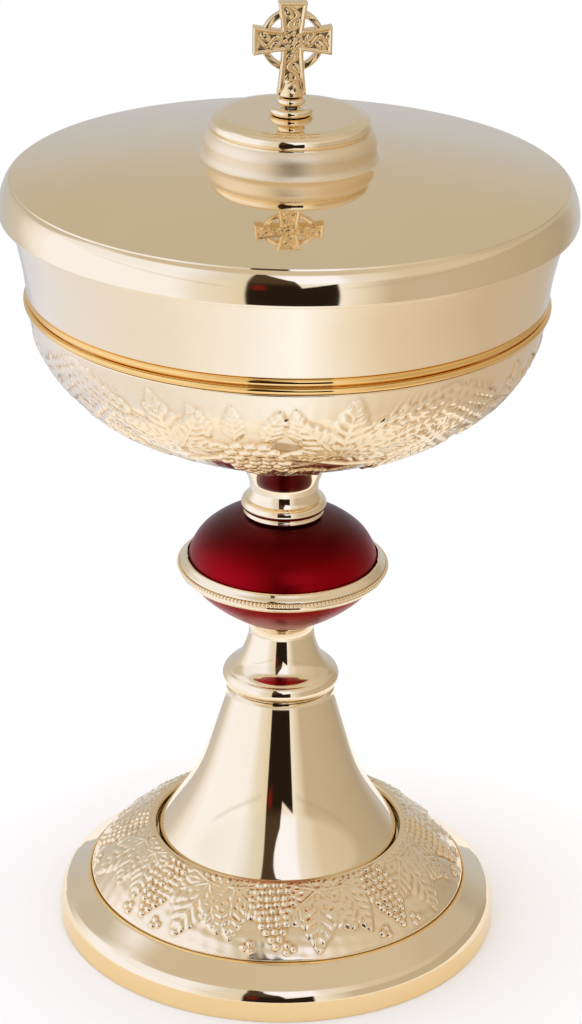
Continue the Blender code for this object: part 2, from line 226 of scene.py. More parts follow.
# gilt plate: tone drifts slowly, and fine polishing marks follow the turning
def giltFinish(name, gloss, marks=0.25, grain=0.0, tint=1.0, shaded=0.0):
    material, tree, shader, add = nodeTools(name)
    link = tree.links.new
    where = add("ShaderNodeTexCoord")
    drift = add("ShaderNodeTexNoise")
    setAll(drift, {"Scale": goldLook["driftScale"], "Detail": 3})
    link(where.outputs["Object"], drift.inputs["Vector"])
    deep, bright = ((r, g * tint ** 0.75, b * tint ** 2.6)
                    for r, g, b in (goldLook["deep"], goldLook["bright"]))
    tone = colourRamp(add, [(0.3, deep), (0.7, bright)])
    link(drift.outputs["Fac"], tone.inputs["Fac"])
    colour = tone.outputs["Color"]
    # recesses are blended towards the hollow colour as painted shade
    if shaded:
        hollow = add("ShaderNodeAttribute", attribute_name="recessShade")
        share = add("ShaderNodeMath", operation="MULTIPLY")
        share.inputs[1].default_value = shaded
        link(hollow.outputs["Fac"], share.inputs[0])
        blend = add("ShaderNodeMix", data_type="RGBA")
        blend.inputs[7].default_value = (*goldLook["hollow"], 1)
        link(share.outputs[0], blend.inputs[0])
        link(colour, blend.inputs[6])
        colour = blend.outputs[2]
    link(colour, shader.inputs["Base Color"])
    smear = add("ShaderNodeTexNoise")
    setAll(smear, {"Scale": goldLook["smearScale"], "Detail": 5})
    stretch = add("ShaderNodeMapping")
    stretch.inputs["Scale"].default_value = (1, 1, 5)
    link(where.outputs["Object"], stretch.inputs["Vector"])
    link(stretch.outputs["Vector"], smear.inputs["Vector"])
    rough = add("ShaderNodeMapRange")
    setAll(rough, {"To Min": gloss[0], "To Max": gloss[1]})
    link(smear.outputs["Fac"], rough.inputs["Value"])
    link(rough.outputs["Result"], shader.inputs["Roughness"])
    rings = add("ShaderNodeTexNoise")
    setAll(rings, {"Scale": goldLook["grainScale" if grain else "markScale"], "Detail": 4})
    link(where.outputs["Object"], rings.inputs["Vector"])
    bump = add("ShaderNodeBump")
    setAll(bump, {"Strength": marks, "Distance": 0.00001 + grain})
    link(rings.outputs["Fac"], bump.inputs["Height"])
    link(bump.outputs["Normal"], shader.inputs["Normal"])
    shader.inputs["Metallic"].default_value = 1
    return material


redLook = {
    "deep": (0.150, 0.0007, 0.0026),
    "bright": (0.225, 0.0011, 0.0042),
    "rough": (0.29, 0.37),
    "metal": 0.84,
    "shine": 0.10,
    # heights (m) and colour scales of painted light on the knop: a painted highlight low down, painted shade
    # near the top
    "thick": (0.1115, 0.1205, 1.65, 0.50),
    "cloudScale": 45,
    "frostScale": 2600,
    "frostDepth": 0.00002,
}


# satin red lacquer over bright metal, with a very fine frosted grain
def redFinish(name):
    material, tree, shader, add = nodeTools(name)
    link = tree.links.new
    where = add("ShaderNodeTexCoord")
    cloud = add("ShaderNodeTexNoise")
    setAll(cloud, {"Scale": redLook["cloudScale"], "Detail": 3})
    link(where.outputs["Object"], cloud.inputs["Vector"])
    tone = colourRamp(add, [(0.25, redLook["deep"]), (0.75, redLook["bright"])])
    link(cloud.outputs["Fac"], tone.inputs["Fac"])
    # painted light by height: the red is brighter low on the knop as a painted highlight and darker towards
    # the top as painted shade
    parts = add("ShaderNodeSeparateXYZ")
    link(where.outputs["Object"], parts.inputs[0])
    paintedLightByHeight = add("ShaderNodeMapRange", interpolation_type="SMOOTHSTEP")
    for socket, value in zip(("From Min", "From Max", "To Min", "To Max"), redLook["thick"]):
        paintedLightByHeight.inputs[socket].default_value = value
    link(parts.outputs["Z"], paintedLightByHeight.inputs["Value"])
    depth = add("ShaderNodeVectorMath", operation="SCALE")
    link(tone.outputs["Color"], depth.inputs[0])
    link(paintedLightByHeight.outputs["Result"], depth.inputs["Scale"])
    link(depth.outputs["Vector"], shader.inputs["Base Color"])
    frost = add("ShaderNodeTexNoise")
    setAll(frost, {"Scale": redLook["frostScale"], "Detail": 2})
    link(where.outputs["Object"], frost.inputs["Vector"])
    rough = add("ShaderNodeMapRange")
    setAll(rough, {"To Min": redLook["rough"][0], "To Max": redLook["rough"][1]})
    link(frost.outputs["Fac"], rough.inputs["Value"])
    link(rough.outputs["Result"], shader.inputs["Roughness"])
    bump = add("ShaderNodeBump")
    setAll(bump, {"Strength": 0.25, "Distance": redLook["frostDepth"]})
    link(frost.outputs["Fac"], bump.inputs["Height"])
    link(bump.outputs["Normal"], shader.inputs["Normal"])
    setAll(shader, {"Metallic": redLook["metal"], "Specular IOR Level": redLook["shine"]})
    return material


steelLook = {
    "deep": (0.42, 0.40, 0.37),
    "bright": (0.66, 0.64, 0.60),
    "rough": (0.28, 0.46),
    "brushScale": 240,
    "brushDepth": 0.00004,
}


# plated steel for the fixings: brushed in one direction and a little stained
def steelFinish(name):
    material, tree, shader, add = nodeTools(name)
    link = tree.links.new
    where = add("ShaderNodeTexCoord")
    stretch = add("ShaderNodeMapping")
    stretch.inputs["Scale"].default_value = (1, 1, 14)
    brush = add("ShaderNodeTexNoise")
    setAll(brush, {"Scale": steelLook["brushScale"], "Detail": 6})
    link(where.outputs["Object"], stretch.inputs["Vector"])
    link(stretch.outputs["Vector"], brush.inputs["Vector"])
    tone = colourRamp(add, [(0.3, steelLook["deep"]), (0.7, steelLook["bright"])])
    link(brush.outputs["Fac"], tone.inputs["Fac"])
    link(tone.outputs["Color"], shader.inputs["Base Color"])
    rough = add("ShaderNodeMapRange")
    setAll(rough, {"To Min": steelLook["rough"][0], "To Max": steelLook["rough"][1]})
    link(brush.outputs["Fac"], rough.inputs["Value"])
    link(rough.outputs["Result"], shader.inputs["Roughness"])
    bump = add("ShaderNodeBump")
    setAll(bump, {"Strength": 0.3, "Distance": steelLook["brushDepth"]})
    link(brush.outputs["Fac"], bump.inputs["Height"])
    link(bump.outputs["Normal"], shader.inputs["Normal"])
    shader.inputs["Metallic"].default_value = 1
    return material


polishedGilt = giltFinish("polishedGilt", goldLook["polished"], 0.12)
# chased, cast and bead gilt paint shade into their recesses
chasedGilt = giltFinish("chasedGilt", goldLook["chased"], 0.4, 0.00003, 1.0, 0.8)
castGilt = giltFinish("castGilt", goldLook["cast"], 0.4, 0.00002, 0.90, 0.75)
beadGilt = giltFinish("beadGilt", goldLook["polished"], 0.12, 0, 0.97, 0.9)
# deeper, warmer gold for the wires, painted in place of light bouncing in the grooves
bounceWarmGilt = giltFinish("bounceWarmGilt", goldLook["polished"], 0.12, 0, 0.70)
# glossier gilt for the base's lower edge, darker and warmer as painted shade
edgeShadeGilt = giltFinish("edgeShadeGilt", goldLook["edge"], 0.12, 0, 0.86)
mattGilt = giltFinish("mattGilt", goldLook["matt"], 0.15, 0.00001)
innerGilt = giltFinish("innerGilt", goldLook["inside"], 0.3, 0.00001)
redLacquer = redFinish("satinRedLacquer")
platedSteel = steelFinish("platedSteel")
print("finishes made")


# relief drawing
# x runs round the piece and y along its outline, in mm; each drawing returns heights in mm

def turnAbout(x, y, degrees):
    a = math.radians(degrees)
    return x * math.cos(a) + y * math.sin(a), -x * math.sin(a) + y * math.cos(a)


def softBall(x, y, rx, ry, high):
    return high * np.sqrt(np.clip(1 - (x / rx) ** 2 - (y / ry) ** 2, 0, None))


# a rounded ridge along a run of points, thinning towards its end
def ridge(x, y, points, wide, high, thin=0.5):
    best = np.zeros_like(x)
    count = len(points) - 1
    for n, (a, b) in enumerate(zip(points, points[1:])):
        ax, ay, bx, by = *a, *b
        size = (bx - ax) ** 2 + (by - ay) ** 2
        t = np.clip(((x - ax) * (bx - ax) + (y - ay) * (by - ay)) / size, 0, 1)
        away = np.hypot(x - ax - t * (bx - ax), y - ay - t * (by - ay))
        part = 1 - (n + t) / count * thin
        best = np.maximum(best, high * part * np.sqrt(np.clip(1 - (away / (wide * part)) ** 2, 0, None)))
    return best


# three berries side by side
def berries(x, y, size, high):
    out = np.zeros_like(x)
    for dx, dy in ((-1.05, -0.3), (1.05, -0.3), (0, 1.4)):
        out = np.maximum(out, softBall(x - dx * size, y - dy * size, size, size, high))
    return out


# grapes packed in rows that narrow to the tip, with the cluster pointing along -y
def grapeCluster(x, y, berry, rows, high):
    out = np.zeros_like(x)
    step = berry * 1.78
    for n, count in enumerate(rows):
        for k in range(count):
            cx = (k - (count - 1) / 2) * berry * 2.02 + rng.normal(0, berry * 0.06)
            cy = -n * step + rng.normal(0, berry * 0.06)
            out = np.maximum(out, softBall(x - cx, y - cy, berry, berry, high * rng.uniform(0.88, 1.06)))
    return out


# one leaf lobe from its base at the origin to its tip at y = length
def leafLobe(x, y, length, wide, high, teeth=6, sweep=0.85):
    t = np.clip(y / length, 0, 1)
    scallop = 1 + 0.16 * np.abs(np.sin(math.pi * teeth * t)) - 0.08
    half = wide * np.sin(math.pi * t ** 0.72) ** 0.85 * scallop + 1e-6
    inside = (y > 0) & (y < length) & (np.abs(x) < half)
    edge = np.clip((1 - np.abs(x) / half) * 2.2, 0, 1) ** 0.7
    veins = np.abs(np.sin(math.pi * (y - sweep * np.abs(x)) * teeth / length))
    body = high * edge * (0.30 + 0.56 * veins ** 0.7) * (0.75 + 0.25 * np.abs(x) / half)
    rib = high * 0.95 * np.sqrt(np.clip(1 - (x / (0.085 * wide + 0.16)) ** 2, 0, None)) * (1 - 0.5 * t)
    return np.where(inside, np.maximum(body, rib), 0)


def vineLeaf(x, y, size, high, lobes):
    out = np.zeros_like(x)
    for angle, share, spread in lobes:
        u, v = turnAbout(x, y, -angle)
        out = np.maximum(out, leafLobe(u, v, size * share, size * spread, high, 4 if share < 0.7 else 6))
    return out


# an ear of wheat along +y, with paired grains and long awns
def wheatEar(x, y, length, grain, high):
    out = ridge(x, y, [(0, -length * 0.55), (0, 0)], 0.38, high * 0.6, 0)
    count = int(length / grain / 0.95)
    for n in range(count):
        cy = n * grain * 0.95
        for sideways in (-1, 1):
            u, v = turnAbout(x - sideways * grain * 0.42, y - cy, -sideways * 24)
            out = np.maximum(out, softBall(u, v, grain * 0.34, grain * 0.78, high))
            tip = (sideways * grain * 2.4, cy + grain * 3.0)
            out = np.maximum(out, ridge(x, y, [(sideways * grain * 0.6, cy + grain * 0.5), tip],
                                        0.34, high * 0.6, 0.6))
    return out


# places a drawing on a turned skin; spot is (degrees round, mm along the outline)
def stamp(height, ways, spot, reach, draw, turn=0):
    turns, arc, radius = ways
    off = (turns - math.radians(spot[0]) + math.pi) % math.tau - math.pi
    columns = np.where(np.abs(off) * radius.max() < reach * 1.25)[0]
    rows = np.where(np.abs(arc - spot[1]) < reach)[0]
    if not len(rows) or not len(columns):
        return
    x = off[None, columns] * radius[rows, None]
    y = np.broadcast_to(arc[rows, None] - spot[1], x.shape)
    x, y = turnAbout(x, y, turn)
    block = np.ix_(rows, columns)
    height[block] = np.maximum(height[block], draw(x, y))


def waysOf(pts, turns):
    steps = np.linalg.norm(np.diff(pts, axis=0), axis=1)
    return turns, np.concatenate([[0], np.cumsum(steps)]), pts[:, 0]


def shellWithRelief(name, outer, wall, material, segments, lift):
    rows = len(outer)
    inside = innerLine(outer, wall)[::-1][::6]
    inside[-1] = innerLine(outer, wall)[0]

    def height(pts, turns):
        out = np.zeros((len(pts), len(turns)))
        out[:rows] = lift(pts[:rows], turns)
        return out

    return spinLine(name, [*outer, *inside], material, segments, height, 0)


# the foot

footLook = {
    "segments": 256,
    "bandSegments": 1152,
    "bandWall": 1.0,
    "relief": 0.82,
    "clusters": 8,
    "firstCluster": -92,
    "grape": 1.10,
    "leaves": (17.0, 20.5),
    # height (mm) below which the base's outer edge takes the glossier gilt with painted shade
    "edgeShadeBelow": 5.9,
}
rodHole = 4.4

footR, _, ringTop = nodeSize("foot_base")
base = [
    *smoothLine([(footR - 3.2, 0.0), (footR - 0.35, 0.0), (footR - 0.02, 0.3), (footR, 1.5),
                 (footR - 0.03, 4.0), (footR - 0.12, 5.6), (footR - 0.42, 6.6), (footR - 0.95, 7.7),
                 (footR - 1.7, 8.7)], 5),
    *smoothLine([(footR - 1.95, 8.9), (footR - 2.9, 9.55), (footR - 4.5, 10.6), (footR - 6.4, 11.9),
                 (footR - 7.6, 12.75)], 6),
    *smoothLine([(footR - 7.9, 12.95), (footR - 8.25, 13.1), (footR - 8.55, 13.0), (footR - 8.8, 12.72),
                 (footR - 9.3, 12.55), (footR - 10.2, 12.75)], 4),
    (44.0, 17.2), (36.4, ringTop), (36.4, ringTop - 1.4), (43.2, 15.9), (footR - 10.0, 11.2),
    *smoothLine([(footR - 8.0, 11.2), (footR - 5.6, 9.0), (footR - 3.2, 6.4), (footR - 2.0, 3.8),
                 (footR - 1.7, 1.2), (footR - 3.2, 1.1)], 4),
]
footBase = spinLine("footBase", base, polishedGilt, footLook["segments"])
# the base's lower outer edge gets a glossier gilt, darkened and warmed as painted shade
footBase.data.materials.append(edgeShadeGilt)
for face in footBase.data.polygons:
    x, y, z = face.center / mm
    face.material_index = int(z < footLook["edgeShadeBelow"] and math.hypot(x, y) > footR - 1.3)
standsFor(footBase, "vessel", "gilt", "foot_base")

deckR, deckLow, deckTop = nodeSize("foot_deck")
deck = [(rodHole, deckLow), (deckR - 0.2, deckLow), (deckR, deckLow + 0.2), (deckR, deckTop - 0.2),
        (deckR - 0.2, deckTop), (rodHole + 0.2, deckTop), (rodHole, deckTop - 0.2)]
standsFor(spinLine("footDeck", deck, innerGilt, footLook["segments"]), "vessel", "gilt", "foot_deck")

bandR, bandLow, bandTop = nodeSize("foot_band")
bandLine = smoothLine([(bandR - 0.1, bandLow + 0.35), (bandR - 0.55, bandLow + 1.4),
                       (bandR - 3.9, bandLow + 5.2), (bandR - 8.3, bandLow + 8.9),
                       (bandR - 13.1, bandLow + 12.2), (bandR - 16.9, bandTop - 0.35),
                       (bandR - 17.8, bandTop - 0.25), (bandR - 18.3, bandTop - 1.0),
                       (bandR - 18.4, bandTop - 1.9)], 20)


def footRelief(pts, turns):
    ways = waysOf(pts, turns)
    arc, radius = ways[1], ways[2]
    height = np.zeros((len(pts), len(turns)))
    high = footLook["relief"]
    total = arc[-1]
    spacing = 360 / footLook["clusters"]
    for n in range(footLook["clusters"]):
        middle = footLook["firstCluster"] + n * spacing
        rows = [3, 4, 5, 5, 5, 4, 4, 3, 2, 1] if n % 2 else [4, 5, 6, 6, 5, 4, 4, 3, 2, 1]
        stamp(height, ways, (middle, total * 0.86), 25,
              lambda x, y: grapeCluster(x, y, footLook["grape"], rows, high * 1.1), rng.normal(0, 6))
        for sideways in (-1, 1):
            lean = sideways * 10 + rng.normal(0, 7)
            size = footLook["leaves"][sideways > 0]
            spot = (middle + sideways * spacing * (0.42 if sideways > 0 else 0.33), total * 0.78)
            stamp(height, ways, spot, 27,
                  lambda x, y: vineLeaf(x, y, size, high,
                                        [(180 + lean, 0.90, 0.27), (180 - 44 + lean, 0.78, 0.26),
                                         (180 + 44 + lean, 0.78, 0.26), (180 - 96 + lean, 0.50, 0.24),
                                         (180 + 96 + lean, 0.50, 0.24)]), 0)
            stem = [(0, 0.4), (sideways * 3.0, 2.0), (sideways * 7.0, 1.9), (sideways * 11.5, 0.2),
                    (sideways * 14.0, -2.2)]
            stamp(height, ways, (middle, total * 0.88), 17,
                  lambda x, y: ridge(x, y, stem, 0.72, high * 0.9, 0.3))
            stamp(height, ways, (middle + sideways * 6.5, total * 0.13), 5,
                  lambda x, y: berries(x, y, 0.95, high * 0.8), sideways * 25)
        stamp(height, ways, (middle + spacing * 0.40, total * 0.95), 9,
              lambda x, y: leafLobe(x, y, 6.5, 1.9, high * 0.8, 4), 100 if n % 2 else -80)
    fade = np.clip(arc / 1.2, 0, 1) * np.clip((total - 2.6 - arc) / 0.9, 0, 1)
    waves = (np.sin(turns[None] * 43 + arc[:, None] * 1.1) * np.sin(turns[None] * 29 - arc[:, None] * 0.8))
    return (height + 0.06 * waves) * fade[:, None]


standsFor(shellWithRelief("footBand", bandLine, footLook["bandWall"], chasedGilt,
                          footLook["bandSegments"], footRelief),
          "vessel", "embossed_gilt", "foot_band")


# fine wires lie in the joints of the foot and the cup; their deeper, warmer gold is painted inter-reflection
def jointWire(name, centre, size, segments=256):
    wire = spinLine(name, arcLine(centre, size, 0, 345, 23), bounceWarmGilt, segments)
    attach(wire, "vessel")


jointWire("bandWire", (bandR + 0.30, bandLow + 0.02), (0.36, 0.33))

coneR, coneLow, coneTop = nodeSize("foot_cone")
coneGuide = [(33.3, 27.3), (31.6, 29.8), (29.9, 32.6), (26.6, 37.0), (24.3, 41.2), (22.6, 45.0), (21.0, 49.0),
             (19.7, 52.8), (18.4, 56.5), (17.2, 60.2), (16.1, 64.2), (15.3, 68.0), (14.9, 70.0)]
coneCurve = np.polyfit([z for _, z in coneGuide], [r for r, _ in coneGuide], 5)
coneLine = [(coneR - 0.12, coneLow + 0.05), (coneR - 0.1, 26.2),
            *[(min(float(np.polyval(coneCurve, z)), coneR - 0.1), z)
              for z in np.linspace(27.2, coneTop - 0.6, 80)],
            (14.4, coneTop), (14.15, coneTop + 0.22)]
coneShell = [*coneLine, (rodHole, coneTop), (rodHole, coneTop - 1.2), (12.8, coneTop - 1.2),
             *innerLine(coneLine[:-3], 1.2)[::-4]]
standsFor(spinLine("footCone", coneShell, polishedGilt, footLook["segments"]), "vessel", "gilt", "foot_cone")
print("foot made")


# the stem

stemLook = {"segments": 160, "beads": 164, "bead": 0.56}

collarR, collarLow, collarTop = nodeSize("lower_collar")
lowerLine = [
    (13.9, collarLow), (14.2, collarLow + 0.06),
    *arcLine((collarR - 2.75, collarLow + 2.9), (2.9, 2.88), -60, 58, 20),
    *smoothLine([(14.55, 76.85), (14.0, 77.35), (13.1, 78.05), (12.0, 79.1), (11.05, 80.45), (10.3, 82.0),
                 (9.65, 83.8), (9.15, 85.7), (8.9, 87.6), (8.95, 89.2), (9.35, 90.6), (9.95, 91.5)], 6),
    (9.9, collarTop), (rodHole, collarTop), (rodHole, collarLow),
]
standsFor(spinLine("lowerCollar", lowerLine, polishedGilt, stemLook["segments"]),
          "vessel", "gilt", "lower_collar")

knopR, upperLow, upperTop = nodeSize("knop_upper_shell")
_, lowerLow, lowerTop = nodeSize("knop_lower_shell")
upperShell = smoothLine([(knopR, upperLow), (knopR - 0.25, upperLow + 1.9), (24.75, 112.7), (22.3, 116.4),
                         (17.8, 119.9), (13.6, 121.6), (10.5, upperTop), (6.6, upperTop)], 8)
lowerShell = smoothLine([(6.6, lowerLow), (10.2, lowerLow), (13.2, 93.5), (19.0, 97.5), (23.3, 101.4),
                         (25.35, 104.8), (knopR, lowerTop)], 8)
for name, line, node, joint in (("knopUpper", upperShell, "knop_upper_shell", 0),
                                ("knopLower", lowerShell, "knop_lower_shell", -1)):
    inside = innerLine(line, 0.9)
    inside[joint] = (inside[joint][0], line[joint][1])
    standsFor(spinLine(name, [*line, *inside[::-1]], redLacquer, stemLook["segments"]),
              "vessel", "red_lacquer", node)

_, girdleLow, girdleTop = nodeSize("knop_girdle")
wireR, wireLow, wireTop = nodeSize("knop_bead_wire")
beadZ = (wireLow + wireTop) / 2
inner = knopR + 0.15
girdle = [
    *smoothLine([(inner, girdleLow + 0.15), (inner + 0.8, girdleLow), (inner + 1.55, girdleLow + 0.4),
                 (inner + 1.9, girdleLow + 1.1), (inner + 1.85, girdleLow + 1.7)], 5),
    (inner + 1.6, beadZ - 0.55), (inner + 1.6, beadZ + 0.55),
    *smoothLine([(inner + 1.9, beadZ + 0.66), (inner + 1.75, beadZ + 0.95), (inner + 1.1, beadZ + 1.7),
                 (inner + 0.45, girdleTop - 0.1), (inner, girdleTop - 0.02)], 5),
]
standsFor(spinLine("knopGirdle", girdle, polishedGilt, stemLook["segments"]), "vessel", "gilt", "knop_girdle")


# small grains run together on their wire, so each touches its neighbours
def beadRow():
    count, size, radius = stemLook["beads"], stemLook["bead"], wireR - stemLook["bead"]
    per, round_ = 7, 12

    def grain(pts, turns):
        wave = np.abs(np.sin(turns * count / 2))
        swell = np.sqrt(np.clip(1 - (1 - wave) ** 2, 0, 1))
        out = np.zeros((len(pts), len(turns)))
        out[:] = (swell[None] - 1) * size * 0.78
        return out

    ring = arcLine((radius, beadZ), (size, size), 0, 360 - 360 / round_, round_ - 1)
    return spinLine("knopBeads", ring, beadGilt, count * per, grain, 0)


standsFor(beadRow(), "vessel", "gilt", "knop_bead_wire")

_, upLow, upTop = nodeSize("upper_collar")
upperCollar = [
    *arcLine((9.9, upLow + 0.72), (0.95, 0.7), -90, 40, 10), (10.55, upLow + 1.42),
    *arcLine((9.35, upLow + 3.2), (2.15, 2.05), -48, 52, 16),
    *smoothLine([(10.1, upLow + 5.1), (9.55, upLow + 6.2), (9.25, upLow + 7.5), (9.35, upLow + 9.2),
                 (9.8, upLow + 10.8), (10.8, upLow + 13.3), (12.2, upLow + 16.4), (13.9, upTop - 0.6)], 5),
    (13.7, upTop), (8.8, upTop), (8.8, 137.9), (rodHole, 137.9), (rodHole, upLow),
]
standsFor(spinLine("upperCollar", upperCollar, polishedGilt, stemLook["segments"]),
          "vessel", "gilt", "upper_collar")
print("stem made")


# the cup

cupLook = {
    "segments": 288,
    "sheathSegments": 1200,
    "sheathWall": 0.7,
    "bowlWall": 1.15,
    "relief": 0.72,
    "groups": 4,
    "wheat": 2.9,
    "baseLeaves": 28,
}

bowlR, _, bowlTop = nodeSize("cup_bowl")
sheathCentre = 185.2
sheathLine = arcLine((0, sheathCentre), (68.0, 42.6), -82.0, -2.6, 150)


def sheathRelief(pts, turns):
    ways = waysOf(pts, turns)
    arc = ways[1]
    total = arc[-1]
    height = np.zeros((len(pts), len(turns)))
    high = cupLook["relief"]
    spacing = 360 / cupLook["groups"]
    fullLeaf = [(0, 1.0, 0.26), (46, 0.88, 0.22), (-46, 0.88, 0.22), (98, 0.66, 0.19), (-98, 0.66, 0.19)]

    def leafAt(place, level, size, turn):
        stamp(height, ways, (middle + place, total * level), size * 1.35,
              lambda x, y: vineLeaf(x, y, size, high, fullLeaf), turn)

    def earAt(place, level, length, turn):
        stamp(height, ways, (middle + place, total * level), length * 1.6,
              lambda x, y: wheatEar(x, y, length, cupLook["wheat"], high * 0.8), turn)

    def grapesAt(place, level, berry, rows, turn):
        stamp(height, ways, (middle + place, total * level), 26,
              lambda x, y: grapeCluster(x, y, berry, rows, high * 1.1), turn)

    for n in range(cupLook["groups"]):
        middle = -90 + n * spacing
        leafAt(13, 0.71, 22, -8)
        leafAt(-25, 0.72, 20, 18)
        leafAt(2, 0.54, 14, 172)
        leafAt(40, 0.60, 16, 150)
        grapesAt(-8, 0.76, 1.75, [3, 4, 5, 5, 4, 4, 3, 2, 1], 4)
        grapesAt(35, 0.68, 1.5, [3, 4, 4, 4, 3, 2, 1], -10)
        for place, level, length, turn in ((19, 0.72, 38, -60), (29, 0.64, 30, -54), (22, 0.86, 26, -68),
                                           (-33, 0.72, 28, 58), (-42, 0.62, 24, 50), (-38, 0.86, 22, 66)):
            earAt(place, level, length, turn)
        stem = [(-24, -8), (-14, -2), (-4, 1.0), (6, -1.5), (15, -6.5), (24, -8)]
        stamp(height, ways, (middle, total * 0.70), 30, lambda x, y: ridge(x, y, stem, 0.9, high * 0.8, 0.1))
        for place, lean in ((-17, 24), (-11, 2), (-4, -20), (4, 10), (31, -16), (39, 12), (-45, -6)):
            stamp(height, ways, (middle + place, total * 0.80), 20,
                  lambda x, y: leafLobe(x, y, 12, 3.0, high * 0.65, 6), lean)
        for place in (-1, 27, -30):
            stamp(height, ways, (middle + place, total * 0.90), 8,
                  lambda x, y: berries(x, y, 1.3, high * 0.7))
    for n in range(cupLook["baseLeaves"]):
        lean = 18 if n % 2 else -18
        stamp(height, ways, (n * 360 / cupLook["baseLeaves"], total * 0.05), 24,
              lambda x, y: leafLobe(x, y, 17, 2.6, high * 0.9, 6), lean)
    hammer = (0.035 * np.sin(turns[None] * 67 + arc[:, None] * 0.7)
              * np.sin(turns[None] * 41 - arc[:, None] * 0.9))
    fade = np.clip(arc / 1.5, 0, 1) * np.clip((total * 0.985 - arc) / 6, 0, 1) ** 0.6
    return (height + hammer) * fade[:, None]


standsFor(shellWithRelief("cupSheath", sheathLine, cupLook["sheathWall"], chasedGilt,
                          cupLook["sheathSegments"], sheathRelief), "vessel", "embossed_gilt", "cup_sheath")

rimR, rimLow, rimTop = nodeSize("sheath_rim")
rimCentre = (rimR - 0.9, (rimLow + rimTop) / 2)
standsFor(spinLine("sheathRim", arcLine(rimCentre, (0.88, 0.88), 0, 345, 23), bounceWarmGilt, cupLook["segments"]),
          "vessel", "gilt", "sheath_rim")
jointWire("grooveWire", (67.62, 186.50), (0.82, 1.02))

bowlSide = [
    *arcLine((0, sheathCentre), (66.4, 40.3), -89.6, -5, 40),
    *smoothLine([(66.6, 184.6), (66.65, 186.4), (67.0, 187.2), (67.9, 187.65), (68.35, 187.95), (68.5, 188.6),
                 (68.85, 191.5), (69.5, 195.5), (70.5, 200.0), (71.5, 204.3), (bowlR - 0.1, 207.6),
                 (bowlR - 0.05, bowlTop - 0.5), (bowlR - 0.5, bowlTop - 0.02)], 6),
]
bowlInside = innerLine(bowlSide, cupLook["bowlWall"])[:-4]
standsFor(spinLine("cupBowl", [*bowlSide, *bowlInside[::-1]], polishedGilt, cupLook["segments"]),
          "vessel", "gilt", "cup_bowl")
print("cup made")


# the lid

lidLook = {
    "segments": 320,
    "wall": 1.1,
    "domeTop": 223.3,
    "fall": 1 / 840,
    "mattReach": (20.4, 23.6),
    "mattLevel": (222.9, 230.0),
}

lidR, lidLow, lidTop = nodeSize("lid_shell")


def domeZ(r):
    return lidLook["domeTop"] - lidLook["fall"] * r * r


lidLine = [
    *smoothLine([(lidR - 0.6, lidLow), (lidR - 0.2, lidLow + 0.1), (lidR - 0.01, lidLow + 0.6),
                 (lidR - 0.08, lidLow + 2.2), (lidR - 0.32, lidLow + 3.8), (lidR - 0.78, lidLow + 5.4),
                 (lidR - 1.35, lidLow + 6.8), (lidR - 2.05, lidLow + 7.95), (lidR - 2.7, lidLow + 8.55)], 7),
    (lidR - 2.82, lidLow + 8.60), (lidR - 2.95, lidLow + 8.52), (lidR - 3.12, lidLow + 8.58),
    *[(r, domeZ(r)) for r in np.linspace(lidR - 3.3, 24.6, 30)],
    *smoothLine([(23.9, domeZ(23.9) + 0.03), (23.2, domeZ(23.2) + 0.18), (22.65, 223.6), (22.35, 224.4),
                 (22.25, 225.4), (22.22, 226.4), (22.2, 227.2), (21.95, 228.1), (21.4, 229.1),
                 (20.8, 229.9)], 7),
    *smoothLine([(20.75, 230.2), (21.05, 230.6), (21.25, 231.3), (21.15, 232.1), (20.75, 232.8),
                 (20.1, 233.3), (19.3, 233.5)], 6),
    *smoothLine([(18.9, 233.5), (18.4, lidTop - 0.2), (17.4, lidTop - 0.03), (15.0, lidTop)], 5),
    (1.7, lidTop),
]
lidInside = innerLine(lidLine, lidLook["wall"])
lidInside[0] = (lidInside[0][0], lidLine[0][1])
lidInside[-1] = (1.7, lidTop - lidLook["wall"])
lidShell = spinLine("lidShell", [*lidLine, *lidInside[::-1]], polishedGilt, lidLook["segments"])
lidShell.data.materials.append(mattGilt)
# only the outside of the boss wall is matt
for face in lidShell.data.polygons:
    x, y, z = face.center / mm
    near, far = lidLook["mattReach"]
    low, high = lidLook["mattLevel"]
    outside = x * face.normal.x + y * face.normal.y > 0
    if outside and near < math.hypot(x, y) < far and low < z < high:
        face.material_index = 1
standsFor(lidShell, "lid", "gilt", "lid_shell")

seatR, seatLow, seatTop = nodeSize("lid_seat_ring")
ledge = 210.3
seat = [
    (68.9, seatLow + 0.3), (68.9, ledge), (seatR - 0.1, ledge), (seatR - 0.1, seatTop - 0.5),
    (seatR - 0.4, seatTop - 0.2), (seatR - 1.1, seatTop - 0.2), (seatR - 1.2, seatTop - 0.5),
    (seatR - 1.2, ledge + 1.2), (67.8, ledge + 1.2), (67.7, ledge + 0.9), (67.7, seatLow + 0.3),
    (68.0, seatLow), (68.6, seatLow),
]
standsFor(spinLine("lidSeatRing", seat, innerGilt, lidLook["segments"]), "lid", "gilt", "lid_seat_ring")
print("lid made")


# the finial

finialLook = {
    "segments": 96,
    "voxel": 0.00013,
    "relief": 0.34,
    "turn": 6.0,
    "crossing": 253.3,
    "armReach": 10.1,
    "thick": 1.45,
}
studHole = 1.65

flangeR, _, flangeTop = nodeSize("finial_flange")
flange = [(studHole, lidTop + 0.06),
          *arcLine((flangeR - 0.9, (lidTop + flangeTop) / 2 + 0.03), (0.9, 0.98), -86, 88, 16),
          *smoothLine([(flangeR - 1.2, flangeTop), (3.4, flangeTop - 0.15), (studHole, flangeTop - 0.15)], 3)]
standsFor(spinLine("finialFlange", flange, polishedGilt, finialLook["segments"]),
          "lid", "gilt", "finial_flange")

